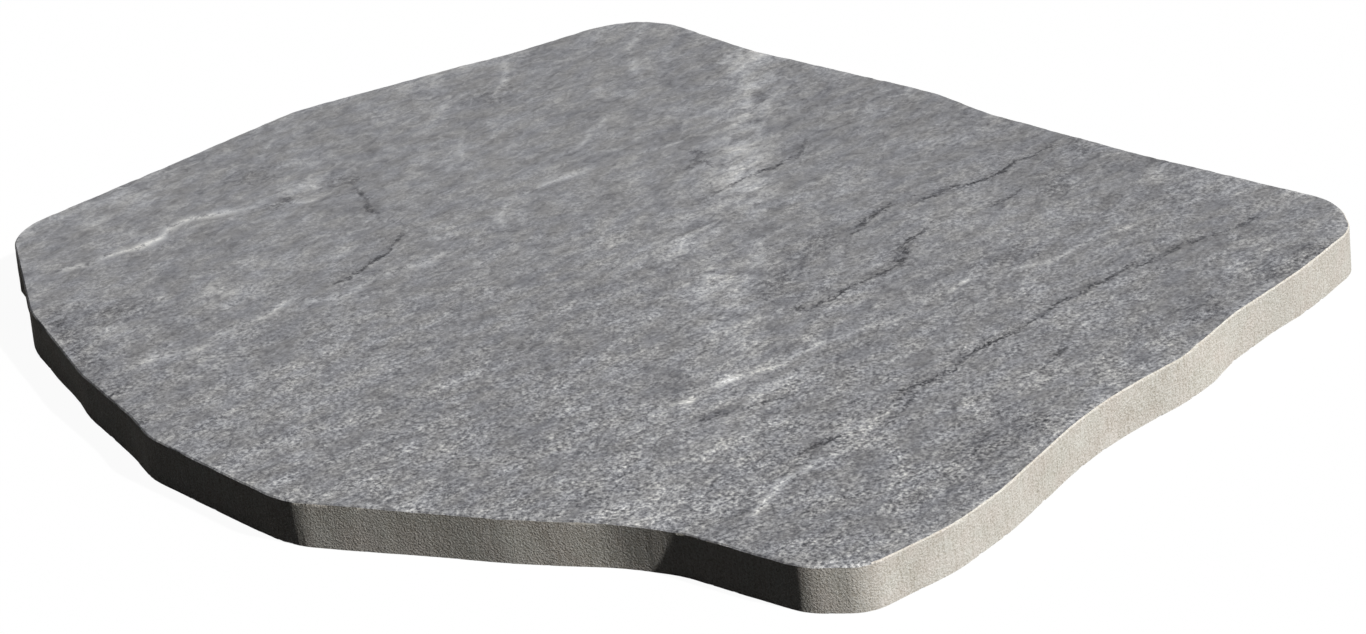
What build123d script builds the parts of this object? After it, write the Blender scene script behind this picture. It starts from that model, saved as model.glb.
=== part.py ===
from build123d import *
import math
import os

# A garden stepping stone: one piece of thick porcelain stoneware with a stone-like face.
# A water jet cut it from a square slab along a freehand line, like a split flagstone,
# so its rim is plain and upright and its underside keeps the slab's pressed pattern.
# The origin is the middle of the outline on the ground, X runs along the length,
# Y across the width and Z up. All sizes are in millimetres.

# Slab and outline
STONE_LENGTH = 544.0
STONE_WIDTH = 507.0
THICKNESS = 20.0

# Worn arris where the cut meets the printed face
ARRIS = 0.6

# Square lands on the underside, with narrow drafted grooves between them.
# The grid was pressed before the stone was cut, so its middle land is off the centre.
LAND_PITCH = 34.0
GRID_SHIFT = -6.3
GROOVE_WIDTH = 2.0
GROOVE_DEPTH = 0.35
GROOVE_DRAFT = 65.0

# The cut line as corners (x, y, corner radius), clockwise from the left nose.
# Straight runs join them, so each corner is a bend of the jet's path.
CUT_LINE = [
    (-274.0, 109.0, 24.0),   # left nose
    (-156.0, 198.0, 53.0),   # far left side
    (-79.0, 227.5, 89.0),
    (-60.0, 233.5, 60.0),
    (0.0, 261.0, 36.0),      # far tip
    (45.5, 208.5, 130.0),    # far right side
    (122.0, 141.5, 103.0),
    (141.5, 115.0, 107.0),
    (204.0, 54.0, 120.0),
    (271.0, -5.0, 30.0),     # right end
    (272.0, -32.0, 20.0),
    (246.0, -62.5, 60.0),    # near right side
    (216.0, -92.0, 74.0),
    (192.0, -123.0, 50.0),
    (155.0, -152.0, 190.0),
    (114.5, -208.0, 139.0),
    (93.0, -231.5, 70.0),
    (59.0, -255.0, 19.0),    # near tip
    (35.5, -250.0, 26.0),
    (-8.0, -213.0, 62.0),    # near side, with its slow hollow
    (-32.0, -201.0, 80.0),
    (-72.0, -188.0, 148.0),
    (-156.0, -154.5, 41.0),
    (-209.0, -90.0, 45.0),   # left side
    (-216.5, -71.0, 60.0),
    (-238.0, -30.0, 99.0),
    (-261.5, 31.0, 54.0),
]


def cut_outline(x_factor, y_factor):
    """The closed cut line, with its corners spread by the two factors."""
    radius_factor = min(x_factor, y_factor)
    corners = [(x * x_factor, y * y_factor) for x, y, _ in CUT_LINE]
    radii = [radius * radius_factor for _, _, radius in CUT_LINE]
    return FilletPolyline(*corners, radius=radii, close=True)


def stone_face():
    """The outline as a face of the stated length and width, centred on the origin."""
    drawn = cut_outline(1, 1).bounding_box().size
    outline = cut_outline(STONE_LENGTH / drawn.X, STONE_WIDTH / drawn.Y)
    middle = outline.bounding_box().center()
    return Pos(-middle.X, -middle.Y) * make_face(outline)


def groove(reach):
    """One groove of the underside, along X through the origin, open below."""
    section = Plane.YZ * Trapezoid(
        GROOVE_WIDTH, GROOVE_DEPTH, GROOVE_DRAFT, align=(Align.CENTER, Align.MIN)
    )
    return extrude(section, reach, both=True)


def groove_places(span):
    """Places of the grooves across a span, with a land in its middle."""
    count = math.ceil(span / 2 / LAND_PITCH)
    return [(step + 0.5) * LAND_PITCH for step in range(-count, count)]


def pressed_grooves():
    """Both sets of grooves that part the lands."""
    along_x = [Pos(0, y) * groove(STONE_LENGTH) for y in groove_places(STONE_WIDTH)]
    along_y = [
        Pos(x + GRID_SHIFT, 0) * Rot(0, 0, 90) * groove(STONE_WIDTH)
        for x in groove_places(STONE_LENGTH)
    ]
    return along_x + along_y


def slab():
    """The stone: outline, arris and pressed underside."""
    body = extrude(stone_face(), THICKNESS)
    face_edge = body.faces().sort_by(Axis.Z)[-1].edges()
    body = chamfer(face_edge, ARRIS)
    return body - pressed_grooves()


os.makedirs("parts", exist_ok=True)
export_step(slab(), "parts/slab.step")
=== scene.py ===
import math

import bpy
import numpy as np
from mathutils import Matrix, Vector, noise


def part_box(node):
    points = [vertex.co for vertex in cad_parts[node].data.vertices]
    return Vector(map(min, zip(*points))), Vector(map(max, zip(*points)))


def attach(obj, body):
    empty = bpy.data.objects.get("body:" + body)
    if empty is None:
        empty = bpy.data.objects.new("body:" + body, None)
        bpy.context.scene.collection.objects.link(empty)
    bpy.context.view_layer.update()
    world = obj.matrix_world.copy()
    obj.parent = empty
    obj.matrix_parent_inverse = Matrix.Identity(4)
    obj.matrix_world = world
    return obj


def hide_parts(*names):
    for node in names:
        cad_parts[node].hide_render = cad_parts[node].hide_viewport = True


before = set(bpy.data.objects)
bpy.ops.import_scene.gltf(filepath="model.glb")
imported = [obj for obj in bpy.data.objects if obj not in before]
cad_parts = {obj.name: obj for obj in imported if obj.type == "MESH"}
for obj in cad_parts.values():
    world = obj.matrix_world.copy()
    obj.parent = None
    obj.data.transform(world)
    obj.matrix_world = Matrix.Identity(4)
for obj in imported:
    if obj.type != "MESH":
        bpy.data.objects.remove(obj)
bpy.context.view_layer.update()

# The slab. One piece of porcelain stoneware, 20 mm thick, pressed from fine clay, feldspar and
# sand, fired until it is dense, and cut along a freehand line by water jet. Nothing is fixed to it.
# It is worked up from a merged copy of the CAD solid, whose outline and underside it keeps.
MM = 0.001
HAIR = 0.01 * MM
FACE_CELL = 1.5 * MM
RIM_ROW = 2.0 * MM
ARRIS = 0.6 * MM
SAME_PLANE = math.radians(0.1)

low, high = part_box("slab")
THICKNESS = high.z
RIM_TOP = THICKNESS - ARRIS


def pick(piece):
    """Selects the piece and nothing else."""
    bpy.ops.object.select_all(action="DESELECT")
    piece.select_set(True)
    bpy.context.view_layer.objects.active = piece


def edit(piece, action):
    """Runs one editing step on what is selected in the piece."""
    pick(piece)
    bpy.ops.object.mode_set(mode="EDIT")
    action()
    bpy.ops.object.mode_set(mode="OBJECT")


def select_faces(piece, wanted):
    """Selects the faces whose normal passes the test, and no others."""
    bpy.context.tool_settings.mesh_select_mode = (False, False, True)
    mesh = piece.data
    mesh.vertices.foreach_set("select", [False] * len(mesh.vertices))
    mesh.edges.foreach_set("select", [False] * len(mesh.edges))
    mesh.polygons.foreach_set("select", [bool(wanted(face.normal)) for face in mesh.polygons])


def in_face(normal):
    """True on the level face."""
    return normal.z > 0.99


def in_rim(normal):
    """True on the upright rim."""
    return abs(normal.z) < 0.01


def in_underside(normal):
    """True on the underside and in its grooves."""
    return normal.z < -0.2


def merge_triangles():
    """Joins the loose triangles of the CAD mesh where they meet."""
    bpy.ops.mesh.select_all(action="SELECT")
    bpy.ops.mesh.remove_doubles(threshold=0.5 * HAIR)
    bpy.ops.mesh.customdata_custom_splitnormals_clear()


def join_flat_faces():
    """Joins the selected faces that lie in one plane."""
    bpy.ops.mesh.dissolve_limited(angle_limit=SAME_PLANE)


def score(places, direction):
    """Cuts all visible faces by a row of parallel planes."""
    for place in places:
        bpy.ops.mesh.select_all(action="SELECT")
        bpy.ops.mesh.bisect(plane_co=direction * place, plane_no=direction)


def cell_lines(start, end, pitch):
    """Evenly spaced places between two ends, half a cell off the middle."""
    return np.arange(math.ceil(start / pitch + 0.5) - 0.5, end / pitch) * pitch


def score_face():
    """Lays a grid of small cells over the face and carries its lines down the rim."""
    bpy.ops.mesh.hide(unselected=False)
    score(cell_lines(low.x, high.x, FACE_CELL), Vector((1, 0, 0)))
    score(cell_lines(low.y, high.y, FACE_CELL), Vector((0, 1, 0)))


def score_rim():
    """Cuts the rim into rows, one below the other."""
    bpy.ops.mesh.hide(unselected=True)
    score(np.arange(RIM_ROW, RIM_TOP, RIM_ROW), Vector((0, 0, 1)))
    bpy.ops.mesh.reveal(select=False)


stone = bpy.data.objects.new("stone_slab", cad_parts["slab"].data.copy())
bpy.context.scene.collection.objects.link(stone)
edit(stone, merge_triangles)
select_faces(stone, in_face)
edit(stone, bpy.ops.mesh.dissolve_faces)
select_faces(stone, in_rim)
edit(stone, join_flat_faces)


def cut_corners(mesh):
    """The corners of the cut line in order, from the edges round the top of the rim."""
    ring = {vertex.index for vertex in mesh.vertices if abs(vertex.co.z - RIM_TOP) < HAIR}
    beside = {index: [] for index in ring}
    for edge in mesh.edges:
        first, second = edge.vertices
        if first in ring and second in ring:
            beside[first].append(second)
            beside[second].append(first)
    walk = [min(ring)]
    walk.append(beside[walk[0]][0])
    while True:
        onward = [index for index in beside[walk[-1]] if index != walk[-2]][0]
        if onward == walk[0]:
            break
        walk.append(onward)
    return np.array([mesh.vertices[index].co.xy for index in walk])


corners = cut_corners(stone.data)
select_faces(stone, in_underside)
edit(stone, score_face)
select_faces(stone, in_rim)
edit(stone, score_rim)

points = np.empty(len(stone.data.vertices) * 3)
stone.data.vertices.foreach_get("co", points)
points = points.reshape(-1, 3)


def nearest_run(places, corners):
    """For each place the nearest run of the cut line, how far along it, and how far off it is."""
    run = np.roll(corners, -1, 0) - corners
    nearest = np.zeros(len(places), int)
    along = np.zeros(len(places))
    off = np.full(len(places), np.inf)
    for index, (start, step) in enumerate(zip(corners, run)):
        share = np.clip((places - start) @ step / (step @ step), 0, 1)
        gap = np.linalg.norm(places - start - share[:, None] * step, axis=1)
        closer = gap < off
        nearest[closer] = index
        along[closer] = share[closer]
        off[closer] = gap[closer]
    return nearest, along, off


def smooth_line_offset(corners, nearest, along):
    """From each place on the straight runs to the smooth curve through the corners."""
    run = np.roll(corners, -1, 0) - corners
    length = np.linalg.norm(run, axis=1)[:, None]
    pull = run * length ** 2
    heading = pull + np.roll(pull, 1, 0)
    heading /= np.linalg.norm(heading, axis=1)[:, None]
    leave = heading[nearest] * length[nearest] - run[nearest]
    arrive = np.roll(heading, -1, 0)[nearest] * length[nearest] - run[nearest]
    t = along[:, None]
    return t * (1 - t) ** 2 * leave - t ** 2 * (1 - t) * arrive


RIM_BAND = 1.2 * ARRIS
nearest, along, from_rim = nearest_run(points[:, :2], corners)
at_rim = from_rim < RIM_BAND
points[at_rim, :2] += smooth_line_offset(corners, nearest[at_rim], along[at_rim])


def soft_noise(places, sizes, seed):
    """Smooth noise about zero, whose lumps have the given size along each axis."""
    shift = Vector((seed, seed, seed))
    return np.array([noise.noise(Vector(place) + shift) for place in places / sizes])


# The jet's traces. It was led by hand, so the rim leans in and out a little towards its foot,
# wanders along its length and shows upright striae, which grow coarser towards the ground.
# Each lean is (x, y, reach, how far out the foot goes), and all sizes here are in millimetres.
LEANS = [
    (-271, 99, 12, 1.4), (-268, 85, 6, -0.8), (-262, 62, 10, -0.8), (-259, 42, 13, 0.9),
    (-243, -14, 16, -1.1), (-214, -76, 16, 0.6), (-160, -150, 14, -0.7), (-100, -176, 26, -0.5),
    (-18, -208, 22, -0.8), (204, -109, 13, 1.5), (234, -72, 14, -0.9), (265, -36, 8, -0.5),
]
JET_WANDER, WANDER_LUMP, WANDER_SEED = 0.16, (12, 12, 60), 1.3
JET_STRIAE, STRIAE_LUMP, STRIAE_SEED = 0.07, (2.2, 2.2, 30), 5.7

walls = at_rim & (points[:, 2] < THICKNESS - 0.3 * ARRIS)
wall = points[walls] / MM
run = (np.roll(corners, -1, 0) - corners)[nearest[walls]]
turning = np.sign(np.cross(corners[0], corners[1]))
inward = turning * np.stack([-run[:, 1], run[:, 0]], 1) / np.linalg.norm(run, axis=1)[:, None]
below = 1 - wall[:, 2] / (THICKNESS / MM)
push = JET_WANDER * (0.6 + soft_noise(wall, WANDER_LUMP, WANDER_SEED))
push += JET_STRIAE * (0.3 + 0.7 * below) * (0.6 + soft_noise(wall, STRIAE_LUMP, STRIAE_SEED))
for x, y, reach, out in LEANS:
    push -= out * below * np.exp(-((wall[:, 0] - x) ** 2 + (wall[:, 1] - y) ** 2) / reach ** 2)
points[walls, :2] += inward * push[:, None] * MM

# The riven face. The press's upper die is taken from split slate, so the face has shallow waves
# along one grain direction, flaked edges and narrow clefts. The print follows them with pale mineral
# veins and cloudy bands, and the clefts get dark seams of painted shadow. Places are in millimetres
# from the slab's middle.
GRAIN_ANGLE = math.radians(38)
GRAIN_ALONG = np.array([math.cos(GRAIN_ANGLE), math.sin(GRAIN_ANGLE)])
GRAIN_ACROSS = np.array([-math.sin(GRAIN_ANGLE), math.cos(GRAIN_ANGLE)])

# Each line is (width, strength, points). Its ends fade out. A cleft is flaked on the right of the
# way it is drawn. A patch is (x, y, size, strength).
VEINS = [
    (2.6, 0.5, [(-128, 110), (-140, 107), (-150, 105), (-163, 108), (-170, 107), (-180, 105)]),
    (3.4, 0.95, [(-172, 107), (-180, 105), (-190, 104), (-197, 103), (-202, 99), (-207, 94),
                 (-211, 87), (-215, 82), (-222, 80), (-228, 78), (-235, 74), (-240, 69), (-246, 68),
                 (-262, 66)]),
    (3.6, 0.65, [(-88, 45), (-93, 40), (-100, 34), (-110, 31), (-117, 29), (-124, 21), (-133, 14),
                 (-140, 11), (-150, 14), (-157, 13), (-161, 8), (-165, 3), (-176, -2), (-182, -7),
                 (-185, -14), (-191, -18), (-202, -20), (-209, -24), (-222, -31)]),
    (2.2, 0.6, [(17, 128), (12, 124), (6, 121), (-5, 116), (-14, 109)]),
    (3.0, 0.5, [(-24, 109), (-35, 105), (-46, 97), (-58, 89), (-63, 85), (-66, 77), (-68, 70),
                (-66, 60), (-64, 50), (-62, 40), (-61, 34), (-67, 18)]),
    (1.3, 0.6, [(101, -57), (90, -62), (80, -67), (68, -72)]),
    (2.2, 1.0, [(78, -66), (74, -69), (65, -73), (55, -77), (50, -80), (45, -85), (40, -90),
                (35, -93), (28, -95), (18, -98), (12, -103), (6, -108), (0, -113), (-5, -113),
                (-9, -119), (-17, -125)]),
    (2.2, 0.75, [(196, 2), (186, -6), (173, -12), (165, -18), (158, -24), (152, -28), (140, -30),
                 (130, -31), (118, -37), (112, -42), (110, -47), (108, -60)]),
    (2.1, 1.15, [(60, -166), (50, -168), (46, -172), (42, -177), (34, -184), (31, -187),
                 (30, -191), (27, -195), (25, -200), (21, -209), (26, -220)]),
    (3.0, 0.5, [(2, 253), (-1, 240), (-4, 232), (-8, 222), (-6, 212), (-5, 200), (-4, 190),
                (-6, 182), (-9, 168)]),
    (2.2, 0.4, [(-16, 161), (-21, 150), (-27, 143), (-29, 135), (-32, 129), (-45, 117)]),
    (2.0, 0.4, [(30, 152), (16, 143), (8, 137), (-12, 128)]),
    (3.6, 0.6, [(-82, 152), (-83, 140), (-81, 130), (-79, 111)]),
    (2.8, 0.55, [(-62, 228), (-62, 210), (-64, 200), (-67, 193), (-63, 175)]),
    (2.2, 0.5, [(-164, 177), (-167, 163), (-172, 150)]),
    (1.8, 0.5, [(2, 25), (-8, 18), (-14, 14), (-23, 5)]),
    (1.6, 0.5, [(46, 6), (28, -7), (24, -10)]),
    (1.8, 0.5, [(165, -76), (158, -84), (156, -95)]),
]
BANDS = [
    (12.0, 0.95, [(45, 200), (43, 180), (45, 165), (45, 150), (38, 135), (36, 120), (33, 110),
                  (34, 95), (33, 85), (35, 60), (28, 47), (18, 40), (12, 32), (9, 22)]),
    (13.0, 0.72, [(26, 8), (18, -5), (20, -20), (20, -45), (24, -65), (26, -82), (27, -105),
                 (25, -122), (20, -130), (12, -140), (5, -148)]),
    (10.0, 0.7, [(-9, -178), (-17, -188), (-24, -204)]),
]
PATCHES = [
    (-146, 124, 9, 0.8), (-228, 135, 10, 0.6), (-208, 153, 9, 0.6), (-265, 112, 8, 0.5),
    (-240, 109, 7, 0.5), (-185, 27, 8, 0.5), (-165, 51, 8, 0.5), (-225, 4, 8, 0.6),
    (-135, 195, 8, 0.6), (-89, 190, 8, 0.5), (-42, -20, 7, 0.5), (113, 95, 8, 0.5),
    (-150, -118, 9, 0.5), (66, -151, 8, 0.5), (20, 93, 6, 0.5), (34, 108, 8, 0.7), (9, 22, 6, 0.7),
    (27, -102, 9, 0.8), (-11, -179, 9, 0.6), (-183, 28, 9, 0.5), (200, 37, 10, 0.5),
]
CLEFTS = [
    (1.5, 1.0, [(-107, 68), (-108, 62), (-112, 57), (-115, 48), (-119, 42), (-124, 37), (-128, 32),
                (-131, 27), (-136, 25), (-142, 23)]),
    (1.8, 0.65, [(-129, 117), (-127, 112), (-124, 105), (-121, 90), (-118, 85), (-118, 78)]),
    (1.8, 0.8, [(64, 113), (62, 105), (60, 98), (55, 93), (48, 87), (42, 84), (35, 79), (28, 73),
                (22, 68), (12, 60)]),
    (2.4, 0.6, [(14, 118), (17, 112), (19, 108), (15, 103), (20, 100), (8, 94), (0, 93)]),
    (1.7, 1.0, [(168, 82), (161, 74), (155, 69), (148, 66), (143, 61), (138, 56), (133, 53),
                (120, 49), (109, 42), (99, 34)]),
    (2.0, 1.1, [(97, 41), (87, 33), (80, 24), (73, 12)]),
    (1.3, 0.5, [(133, 50), (125, 46), (117, 43)]),
    (1.4, 0.7, [(150, 42), (145, 37), (140, 31), (133, 26), (129, 23)]),
    (1.7, 0.85, [(109, 17), (97, 4), (95, 0), (95, -9), (92, -16), (86, -21), (80, -25), (73, -30),
                 (64, -38), (58, -43), (53, -48), (48, -46), (50, -40)]),
    (1.7, 0.95, [(240, -8), (233, -13), (229, -17), (217, -22), (203, -28), (193, -37), (187, -41),
                 (180, -42), (176, -46), (165, -55), (155, -63), (145, -72), (140, -77), (128, -88),
                 (116, -97), (112, -100), (108, -105), (105, -112), (92, -118), (82, -125),
                 (74, -127)]),
    (1.5, 0.8, [(90, -124), (87, -130), (84, -136), (79, -145), (73, -151)]),
    (1.7, 1.1, [(66, -148), (50, -158), (43, -163), (38, -167)]),
    (1.5, 0.8, [(152, -100), (146, -108), (140, -117), (135, -122)]),
    (2.0, 1.2, [(20, -124), (10, -127), (1, -128)]),
    (1.5, 0.9, [(46, -114), (34, -119), (18, -126)]),
    (1.2, 0.55, [(-223, -23), (-229, -31)]),
    (1.2, 0.35, [(-216, 26), (-201, 31)]),
    (1.2, 0.4, [(-131, 70), (-139, 56)]),
    (1.3, 0.5, [(24, 215), (25, 209)]),
    (1.3, 0.5, [(-17, 135), (-16, 128)]),
    (1.2, 0.5, [(-8, -148), (-15, -155)]),
]
SHADES = [
    (8.0, 0.4, [(65, 15), (55, 5), (50, -5), (45, -15), (38, -30)]),
    (7.0, 0.45, [(131, -160), (122, -167), (105, -180)]),
    (7.0, 0.45, [(208, -80), (203, -90)]),
    (7.0, 0.5, [(163, 47), (162, 35)]),
    (9.0, 0.35, [(140, -18), (132, -22)]),
    (7.0, 0.5, [(-252, 25), (-240, -12), (-228, -45), (-216, -75)]),
    (7.0, 0.45, [(255, -45), (245, -54), (235, -62)]),
    (8.0, 0.4, [(-176, 135), (-170, 139)]),
    (8.0, 0.4, [(-72, 190), (-66, 194)]),
    (5.0, 0.6, [(-135, 124), (-131, 122)]),
    (4.0, 0.6, [(94, -3), (92, -12)]),
    (3.0, 0.6, [(-164, 104), (-156, 111)]),
    (6.0, 0.5, [(174, 82), (176, 70)]),
    (9.0, 0.4, [(-232, 20), (-222, 22)]),
    (60.0, 0.18, [(60, 190), (210, 60)]),
]

# A mark is looked for up to WIDEST of its widths away, and its ends fade over TAPER millimetres.
WIDEST = 5.0
TAPER = 10.0

# Noise vectors start from the clock unless they are seeded. The seed keeps every run the same.
noise.seed_set(1)


def wander(places, size, reach, seed):
    """Moves places about by smooth seeded noise, so that drawn lines lose their straightness."""
    shift = [noise.noise_vector(Vector((x / size, y / size, seed))).xy for x, y in places]
    return places + reach * np.array(shift)


def gap_to_line(places, drawn):
    """How far off a drawn line each place is, below zero on its right, and how far from its ends."""
    drawn = np.array(drawn, float)
    step = np.diff(drawn, axis=0)
    length = np.linalg.norm(step, axis=1)
    passed = np.cumsum(length) - length
    gap = np.full(len(places), np.inf)
    along = np.zeros(len(places))
    for index, start in enumerate(drawn[:-1]):
        share = np.clip((places - start) @ step[index] / length[index] ** 2, 0, 1)
        away = places - start - share[:, None] * step[index]
        side = np.where(np.cross(step[index], away) < 0, -1, 1)
        closer = np.linalg.norm(away, axis=1) < abs(gap)
        gap[closer] = (side * np.linalg.norm(away, axis=1))[closer]
        along[closer] = (passed[index] + share * length[index])[closer]
    return gap, np.minimum(along, length.sum() - along)


def nearest_line(places, lines):
    """The gap to the nearest drawn line, in widths of that line, and how strongly it shows there."""
    nearest = np.full(len(places), WIDEST)
    shown = np.zeros(len(places))
    for width, strength, drawn in lines:
        gap, inward = gap_to_line(places, drawn)
        closer = abs(gap / width) < abs(nearest)
        nearest[closer] = gap[closer] / width
        shown[closer] = strength * np.clip(inward[closer] / TAPER, 0, 1)
    return nearest, shown * np.clip(WIDEST - abs(nearest), 0, 1)


def strongest(places, lines):
    """How strongly soft bands show at each place, from 1 on their middle line to 0 beside it."""
    gaps = [abs(gap_to_line(places, drawn)[0]) / width for width, _, drawn in lines]
    return np.max([line[1] * np.exp(-(gap ** 2)) for line, gap in zip(lines, gaps)], axis=0)


def patch_strength(places, patches):
    """How strongly soft round patches show at each place."""
    gaps = [np.hypot(places[:, 0] - x, places[:, 1] - y) / size for x, y, size, _ in patches]
    return np.max([patch[3] * np.exp(-(gap ** 2)) for patch, gap in zip(patches, gaps)], axis=0)


def grain_noise(places, along_size, across_size, seed):
    """Smooth noise about zero that is drawn out along the grain."""
    turned = np.stack([places @ GRAIN_ALONG, places @ GRAIN_ACROSS, np.zeros(len(places))], 1)
    return soft_noise(turned, (along_size, across_size, 1), seed)


# The relief: depth, size along and across the grain, and seed of its waves, ripples and pits, all
# in millimetres. It fades out down the rim, from the face to CARVED_FROM of the thickness.
RELIEF = ((0.22, 90, 45, 1.5), (0.16, 18, 9, 2.5), (0.12, 6, 3.2, 3.5))
CARVED_FROM = 0.6
CLEFT_DEPTH = 0.24
LEDGE_DEPTH = 0.28
LEDGE_REACH = 3.5
CHIP_DEPTH = 0.3
CHIP_REACH = 1.5
CHIP_SIZE, CHIP_SEED = 4, 6.5
RUBBED_REACH = 4

carved = points[:, 2] > CARVED_FROM * THICKNESS
plan = points[carved, :2] / MM
to_edge = from_rim[carved] / MM
drifted = wander(wander(plan, size=11, reach=1.6, seed=4.2), size=4, reach=0.8, seed=8.6)

vein_gap, veins = nearest_line(drifted, VEINS)
cleft_gap, clefts = nearest_line(drifted, CLEFTS)
pale = np.maximum(strongest(drifted, BANDS), patch_strength(drifted, PATCHES))
shades = strongest(drifted, SHADES)
rubbed = np.exp(-to_edge / RUBBED_REACH)

depth = sum(deep * grain_noise(plan, long, wide, seed) for deep, long, wide, seed in RELIEF)
depth += CLEFT_DEPTH * clefts * np.exp(-(cleft_gap ** 2))
depth += LEDGE_DEPTH * clefts * np.clip(-cleft_gap, 0, 1) * np.exp(-abs(cleft_gap) / LEDGE_REACH)
chips = np.clip(0.3 + grain_noise(plan, CHIP_SIZE, CHIP_SIZE, CHIP_SEED), 0, 1)
depth += CHIP_DEPTH * chips * np.exp(-to_edge / CHIP_REACH)
depth -= depth[points[carved, 2] > THICKNESS - HAIR].min()
sunk = (points[carved, 2] / THICKNESS - CARVED_FROM) / (1 - CARVED_FROM)
points[carved, 2] -= depth * MM * sunk ** 2
points = np.clip(points, low, high)
stone.data.vertices.foreach_set("co", points.ravel())
stone.data.update()

fields = {"vein_gap": vein_gap, "veins": veins, "cleft_gap": cleft_gap, "clefts": clefts,
          "pale": pale, "shades": shades, "rubbed": rubbed}
for name, values in fields.items():
    field = np.zeros(len(points))
    field[carved] = values
    stone.data.attributes.new(name, "FLOAT", "POINT").data.foreach_set("value", field)

SMOOTH_ANGLE = math.radians(38)
pick(stone)
bpy.ops.object.shade_smooth_by_angle(angle=SMOOTH_ANGLE)


# The face's finish. Porcelain stoneware, printed in greys and fired under a thin matte glaze that
# holds fine grit, so the eye gets a dry, slightly sparkling stone with no gloss of its own. Real
# grit is under half a millimetre and wouldn't show, so it is drawn coarser. Sizes are millimetres.
CLOUD = 55.0
MOTTLE = 13.0
FLAKE = 4.2
GRIT = 1.6
TINT = 9.0
FACE_TONE = 0.526
NEAR_END, FAR_END = -0.2, 0.12
NEAR_GRIT, FAR_GRIT = 1.28, 0.24


def srgb(code):
    """Linear colour of an sRGB hex code."""
    parts = [int(code[i:i + 2], 16) / 255 for i in (1, 3, 5)]
    return [p / 12.92 if p <= 0.04045 else ((p + 0.055) / 1.055) ** 2.4 for p in parts] + [1]


def add(tree, kind, inputs, **settings):
    """Adds a node with its settings, and sets or links its inputs."""
    node = tree.nodes.new(kind)
    for name, value in settings.items():
        setattr(node, name, value)
    for name, value in inputs.items():
        if isinstance(value, bpy.types.NodeSocket):
            tree.links.new(value, node.inputs[name])
        else:
            node.inputs[name].default_value = value
    return node


def new_material(name):
    """An empty material and its tree."""
    material = bpy.data.materials.new(name)
    material.use_nodes = True
    material.node_tree.nodes.clear()
    return material, material.node_tree


def washed(tree, colour, path, size, codes):
    """The colour under a slow drift between two tints, as fired bodies have."""
    drift = add(tree, "ShaderNodeTexNoise", {"Vector": path, "Scale": 1 / (size * MM), "Detail": 3.0})
    tints = add(tree, "ShaderNodeValToRGB", {"Fac": drift.outputs["Fac"]})
    for stop, position, code in zip(tints.color_ramp.elements, (0.35, 0.65), codes):
        stop.position = position
        stop.color = srgb(code)
    return add(tree, "ShaderNodeMix", {0: 1.0, 6: colour, 7: tints.outputs["Color"]},
               data_type="RGBA", blend_type="MULTIPLY").outputs[2]


face_finish, tree = new_material("printed_matte_stoneware")
place = add(tree, "ShaderNodeTexCoord", {}).outputs["Object"]
turned = add(tree, "ShaderNodeMapping", {"Vector": place, "Rotation": (0, 0, -GRAIN_ANGLE)}).outputs[0]
grain = add(tree, "ShaderNodeMapping", {"Vector": turned, "Scale": (0.62, 1, 1)}).outputs[0]
layers = []
for size, path, detail, curl in ((CLOUD, grain, 2.0, 0.0), (MOTTLE, grain, 1.5, 0.8),
                                 (FLAKE, grain, 1.5, 1.0), (GRIT, turned, 3.0, 0.0)):
    layer = add(tree, "ShaderNodeTexNoise", {
        "Vector": path, "Scale": 1 / (size * MM), "Detail": detail, "Roughness": 0.75, "Distortion": curl})
    layers.append(add(tree, "ShaderNodeMath", {0: layer.outputs["Fac"], 1: 0.5},
                      operation="SUBTRACT").outputs[0])
cloud, mottle, flake, grit = layers

# The grit is coarser to the eye towards the near end of the slab, where the glaze is drier.
across = add(tree, "ShaderNodeSeparateXYZ", {"Vector": place}).outputs["Y"]
dryness = add(tree, "ShaderNodeMapRange", {
    "Value": across, "From Min": NEAR_END, "From Max": FAR_END,
    "To Min": NEAR_GRIT, "To Max": FAR_GRIT}).outputs[0]
unevenly = add(tree, "ShaderNodeMath", {0: mottle, 1: 2.5, 2: 1.0}, operation="MULTIPLY_ADD").outputs[0]
dryness = add(tree, "ShaderNodeMath", {0: dryness, 1: unevenly}, operation="MULTIPLY").outputs[0]
tone = add(tree, "ShaderNodeMath", {0: grit, 1: dryness, 2: FACE_TONE}, operation="MULTIPLY_ADD").outputs[0]
for layer, weight in ((cloud, 0.05), (mottle, 0.24), (flake, 0.3)):
    tone = add(tree, "ShaderNodeMath", {0: layer, 1: weight, 2: tone}, operation="MULTIPLY_ADD").outputs[0]

# How the marks crumble: pale ones sit on the pale grit, dark ones between it, soft ones on both,
# and the print took unevenly from one mottle to the next.
edge = add(tree, "ShaderNodeMath", {0: flake, 1: 0.8, 2: grit}, operation="MULTIPLY_ADD").outputs[0]
uneven = add(tree, "ShaderNodeMath", {0: mottle, 1: 4.0, 2: 1.0}, operation="MULTIPLY_ADD").outputs[0]
crumbled = []
for share in (3.5, -3.5, 1.5):
    crumbs = add(tree, "ShaderNodeMath", {0: edge, 1: share, 2: uneven}, operation="MULTIPLY_ADD").outputs[0]
    crumbled.append(add(tree, "ShaderNodeMath", {0: crumbs, 1: 0.0}, operation="MAXIMUM").outputs[0])
pale_crumbs, dark_crumbs, soft_crumbs = crumbled

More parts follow.
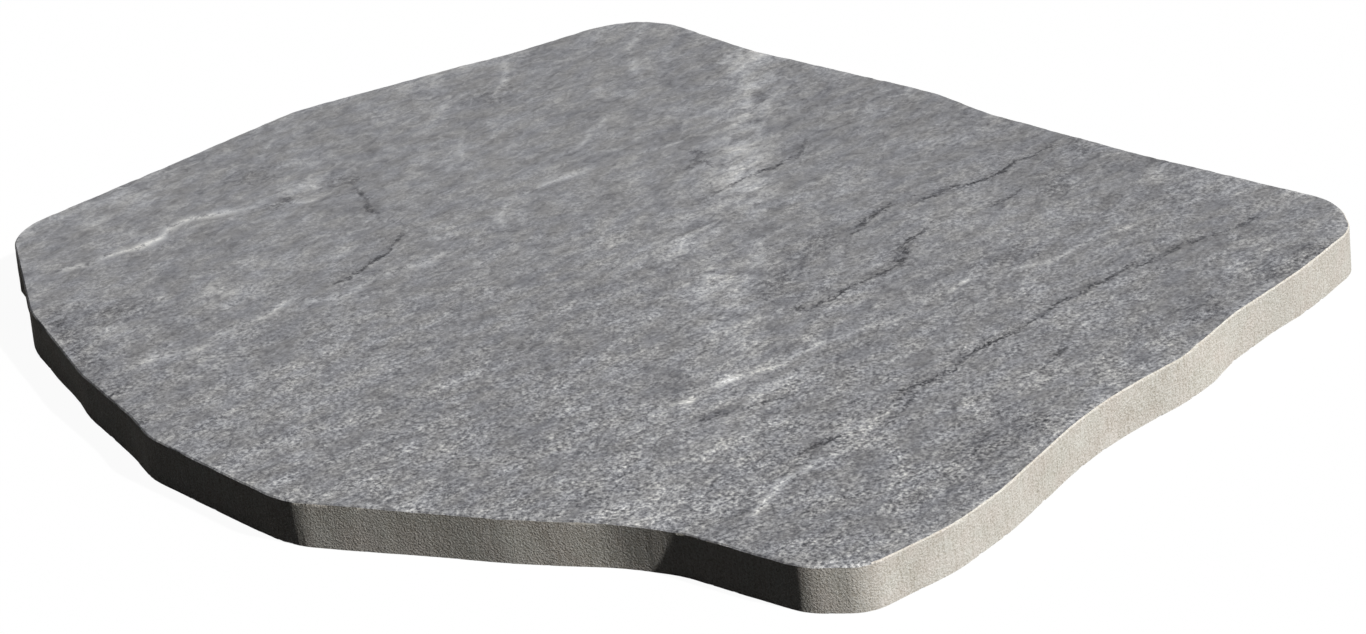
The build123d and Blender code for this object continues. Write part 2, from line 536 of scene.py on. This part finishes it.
# Lines: gap and strength attributes, where the core ends, how much it crumbles, change of tone.
for gap_name, name, reach, crumble, change, crumbs in (
        ("vein_gap", "veins", 1.3, 2.3, 0.14, pale_crumbs),
        # The clefts are drawn darker: painted shadow along each cleft.
        ("cleft_gap", "clefts", 1.0, 2.2, -0.11, dark_crumbs)):
    gap = add(tree, "ShaderNodeAttribute", {}, attribute_name=gap_name).outputs["Fac"]
    drawn = add(tree, "ShaderNodeAttribute", {}, attribute_name=name).outputs["Fac"]
    off = add(tree, "ShaderNodeMath", {0: gap}, operation="ABSOLUTE").outputs[0]
    off = add(tree, "ShaderNodeMath", {0: edge, 1: crumble, 2: off}, operation="MULTIPLY_ADD").outputs[0]
    core = add(tree, "ShaderNodeMapRange", {
        "Value": off, "From Min": 0.1, "From Max": reach, "To Min": 1.0, "To Max": 0.0},
        interpolation_type="SMOOTHSTEP").outputs[0]
    mark = add(tree, "ShaderNodeMath", {0: core, 1: drawn}, operation="MULTIPLY").outputs[0]
    mark = add(tree, "ShaderNodeMath", {0: mark, 1: crumbs}, operation="MULTIPLY").outputs[0]
    tone = add(tree, "ShaderNodeMath", {0: mark, 1: change, 2: tone}, operation="MULTIPLY_ADD").outputs[0]

# The flaked side of each cleft, the last line above, is darkened with painted shade that pales away from the
# cleft.
rise = add(tree, "ShaderNodeMapRange", {"Value": gap, "From Min": -LEDGE_REACH, "From Max": 0.0},
           interpolation_type="SMOOTHSTEP").outputs[0]
fall = add(tree, "ShaderNodeMapRange", {
    "Value": gap, "From Min": 0.0, "From Max": 0.8, "To Min": 1.0, "To Max": 0.0}).outputs[0]
painted_ledge_shade = add(tree, "ShaderNodeMath", {0: rise, 1: fall}, operation="MULTIPLY").outputs[0]
painted_ledge_shade = add(tree, "ShaderNodeMath", {0: painted_ledge_shade, 1: drawn}, operation="MULTIPLY").outputs[0]
tone = add(tree, "ShaderNodeMath", {0: painted_ledge_shade, 1: -0.07, 2: tone}, operation="MULTIPLY_ADD").outputs[0]

# Soft marks: attribute and change of tone.
for name, change, crumbs in (("pale", 0.1, soft_crumbs), ("rubbed", 0.04, soft_crumbs),
                             ("shades", -0.14, dark_crumbs)):
    drawn = add(tree, "ShaderNodeAttribute", {}, attribute_name=name).outputs["Fac"]
    mark = add(tree, "ShaderNodeMath", {0: drawn, 1: crumbs}, operation="MULTIPLY").outputs[0]
    tone = add(tree, "ShaderNodeMath", {0: mark, 1: change, 2: tone}, operation="MULTIPLY_ADD").outputs[0]

colour = add(tree, "ShaderNodeValToRGB", {"Fac": tone})
greys = colour.color_ramp.elements
greys[0].color = srgb("#18181b")
greys[1].color = srgb("#ffffff")
for stop, code in ((0.25, "#3f3f42"), (0.4, "#656568"), (0.55, "#8c8c8e"), (0.7, "#b2b2b3"),
                   (0.85, "#dad9d6")):
    greys.new(stop).color = srgb(code)
printed = washed(tree, colour.outputs["Color"], grain, TINT, ("#fcfdff", "#fffefb"))
height = add(tree, "ShaderNodeMath", {0: flake, 1: 1.6, 2: grit}, operation="MULTIPLY_ADD").outputs[0]
relief = add(tree, "ShaderNodeBump", {"Height": height, "Strength": 0.55, "Distance": 0.25 * MM})
shader = add(tree, "ShaderNodeBsdfPrincipled", {
    "Base Color": printed, "Roughness": 0.75, "Specular IOR Level": 0.2, "Normal": relief.outputs[0]})
add(tree, "ShaderNodeOutputMaterial", {"Surface": shader.outputs[0]})

# The cut rim. The water jet leaves the slab's bare body: a warm pale clay with the jet's fine upright
# striae and small dark and light grains of sand, quite dull. Real striae and grains are under half a
# millimetre and wouldn't show, so they are drawn coarser.
STRIA = 1.0
SAND = 0.8
DRIFT = 26.0
CLAY_TINT = 11.0

rim_finish, tree = new_material("water_jet_cut_body")
place = add(tree, "ShaderNodeTexCoord", {}).outputs["Object"]
upright = add(tree, "ShaderNodeMapping", {"Vector": place, "Scale": (1, 1, 0.08)}).outputs[0]
tone = 0.5
for size, path, weight in ((STRIA, upright, 0.42), (DRIFT, place, 0.3), (SAND, place, 1.2)):
    layer = add(tree, "ShaderNodeTexNoise", {
        "Vector": path, "Scale": 1 / (size * MM), "Detail": 2.0, "Roughness": 0.7})
    lift = add(tree, "ShaderNodeMath", {0: layer.outputs["Fac"], 1: 0.5}, operation="SUBTRACT").outputs[0]
    tone = add(tree, "ShaderNodeMath", {0: lift, 1: weight, 2: tone}, operation="MULTIPLY_ADD").outputs[0]
colour = add(tree, "ShaderNodeValToRGB", {"Fac": tone})
clays = colour.color_ramp.elements
clays[0].color = srgb("#8a8277")
clays[1].color = srgb("#f8f6f1")
for stop, code in ((0.3, "#b9b4aa"), (0.5, "#d2cfc8"), (0.7, "#e1dfda")):
    clays.new(stop).color = srgb(code)
clay = washed(tree, colour.outputs["Color"], place, CLAY_TINT, ("#fffefa", "#fffaf6"))
# The sand, the last layer above, also stands out a little.
ridges = add(tree, "ShaderNodeBump", {"Height": lift, "Strength": 1.0, "Distance": 0.32 * MM})
shader = add(tree, "ShaderNodeBsdfPrincipled", {
    "Base Color": clay, "Roughness": 0.95, "Specular IOR Level": 0.08, "Normal": ridges.outputs[0]})
add(tree, "ShaderNodeOutputMaterial", {"Surface": shader.outputs[0]})

# The underside. The same bare body as it left the press: square lands between narrow grooves,
# with a thin pale wash against the kiln rollers.
WASH = 14.0

back_finish, tree = new_material("pressed_back_body")
place = add(tree, "ShaderNodeTexCoord", {}).outputs["Object"]
tone = 0.0
for size, detail, weight in ((WASH, 4.0, 0.6), (SAND, 2.0, 0.4)):
    layer = add(tree, "ShaderNodeTexNoise", {"Vector": place, "Scale": 1 / (size * MM), "Detail": detail})
    lift = layer.outputs["Fac"]
    tone = add(tree, "ShaderNodeMath", {0: lift, 1: weight, 2: tone}, operation="MULTIPLY_ADD").outputs[0]
colour = add(tree, "ShaderNodeValToRGB", {"Fac": tone})
colour.color_ramp.elements[0].position = 0.3
colour.color_ramp.elements[0].color = srgb("#b7b0a4")
colour.color_ramp.elements[1].position = 0.7
colour.color_ramp.elements[1].color = srgb("#dcd8ce")
press = add(tree, "ShaderNodeBump", {"Height": tone, "Strength": 0.3, "Distance": 0.2 * MM})
shader = add(tree, "ShaderNodeBsdfPrincipled", {
    "Base Color": colour.outputs["Color"], "Roughness": 0.85, "Specular IOR Level": 0.3,
    "Normal": press.outputs[0]})
add(tree, "ShaderNodeOutputMaterial", {"Surface": shader.outputs[0]})

stone.data.materials.clear()
for finish in (face_finish, rim_finish, back_finish):
    stone.data.materials.append(finish)
normals = np.empty(len(stone.data.polygons) * 3)
stone.data.polygons.foreach_get("normal", normals)
right, _, up = normals.reshape(-1, 3).T
# The arris on the right side, which faces the key, takes the pale body finish instead of the print: a painted
# highlight along the lit edge.
painted_arris_highlight = (up < 0.8) & (right > 0.25)
printed_faces = (up > 0.3) & ~painted_arris_highlight
cut_faces = up > -0.2
stone.data.polygons.foreach_set("material_index", np.select([printed_faces, cut_faces], [0, 1], 2))
stone.data.update()

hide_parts("slab")
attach(stone, "root")

# The stage: a white floor, one hard key from the right, as the sun stands in the picture, a
# little fill, and the camera. None of it belongs to the object.
FLOOR_SIZE = 12.0
KEY_AZIMUTH = math.radians(-33.5)
KEY_ELEVATION = math.radians(44)
KEY_SPREAD = math.radians(1.5)
FACE_LEVEL = 0.96
FILL_LEVEL = 0.028
PAPER_LEVEL = 0.955
SHADE_REACH = 1.0 * MM


def background_rays(tree):
    """1 for the rays that should see plain white: the camera's own, and those by metal or glass."""
    rays = add(tree, "ShaderNodeLightPath", {}).outputs
    seen = rays["Is Camera Ray"]
    for name in ("Is Glossy Ray", "Is Transmission Ray"):
        seen = add(tree, "ShaderNodeMath", {0: seen, 1: rays[name]}, operation="MAXIMUM").outputs[0]
    return seen


bpy.ops.mesh.primitive_plane_add(size=FLOOR_SIZE, location=(0, 0, -0.02 * MM))
floor = bpy.context.object
floor.name = "floor"
floor.data.transform(floor.matrix_world)
floor.matrix_world = Matrix.Identity(4)
floor_finish, tree = new_material("white_paper")
seen = background_rays(tree)
# The glow fades within SHADE_REACH of the stone, so the floor is painted darker under and right beside it:
# painted contact shade.
open_sky = add(tree, "ShaderNodeAmbientOcclusion", {"Distance": SHADE_REACH}, samples=8).outputs["AO"]
lit = add(tree, "ShaderNodeMapRange", {
    "Value": open_sky, "From Min": 0.25, "From Max": 0.5, "To Max": PAPER_LEVEL}).outputs[0]
paper = add(tree, "ShaderNodeBsdfDiffuse", {"Color": srgb("#ffffff")})
glow = add(tree, "ShaderNodeEmission", {"Color": srgb("#ffffff"), "Strength": 1.0})
shown = add(tree, "ShaderNodeMixShader", {0: lit, 1: paper.outputs[0], 2: glow.outputs[0]})
dim = add(tree, "ShaderNodeBsdfDiffuse", {"Color": srgb("#2a2a2a")})
both = add(tree, "ShaderNodeMixShader", {0: seen, 1: dim.outputs[0], 2: shown.outputs[0]})
add(tree, "ShaderNodeOutputMaterial", {"Surface": both.outputs[0]})
floor.data.materials.append(floor_finish)

key = bpy.data.objects.new("key", bpy.data.lights.new("key", "SUN"))
key.data.energy = math.pi * FACE_LEVEL / math.sin(KEY_ELEVATION)
key.data.angle = KEY_SPREAD
key.matrix_world = Matrix.Rotation(KEY_AZIMUTH, 4, "Z") @ Matrix.Rotation(math.pi / 2 - KEY_ELEVATION, 4, "Y")
bpy.context.scene.collection.objects.link(key)

world = bpy.data.worlds.new("studio")
world.use_nodes = True
tree = world.node_tree
tree.nodes.clear()
seen = background_rays(tree)
level = add(tree, "ShaderNodeMapRange", {"Value": seen, "To Min": FILL_LEVEL, "To Max": 1.0}).outputs[0]
hue = add(tree, "ShaderNodeMix", {0: seen, 6: srgb("#e6eaf6"), 7: srgb("#ffffff")},
          data_type="RGBA").outputs[2]
sky = add(tree, "ShaderNodeBackground", {"Color": hue, "Strength": level})
add(tree, "ShaderNodeOutputWorld", {"Surface": sky.outputs[0]})
bpy.context.scene.world = world

# The camera fitted to the two edges of the rim.
CAMERA_PITCH = math.radians(27)
CAMERA_ROLL = math.radians(-6.58)
CAMERA_PLACE = Vector((3.27, -1945.3, 990.2)) * MM
LENS = 141.92

camera = bpy.data.objects.new("camera", bpy.data.cameras.new("camera"))
camera.data.lens = LENS
camera.data.sensor_width = 36
camera.matrix_world = (
    Matrix.Translation(CAMERA_PLACE)
    @ Matrix.Rotation(math.pi / 2 - CAMERA_PITCH, 4, "X")
    @ Matrix.Rotation(CAMERA_ROLL, 4, "Z")
)
bpy.context.scene.collection.objects.link(camera)
bpy.context.scene.camera = camera
bpy.context.scene.view_settings.view_transform = "Standard"
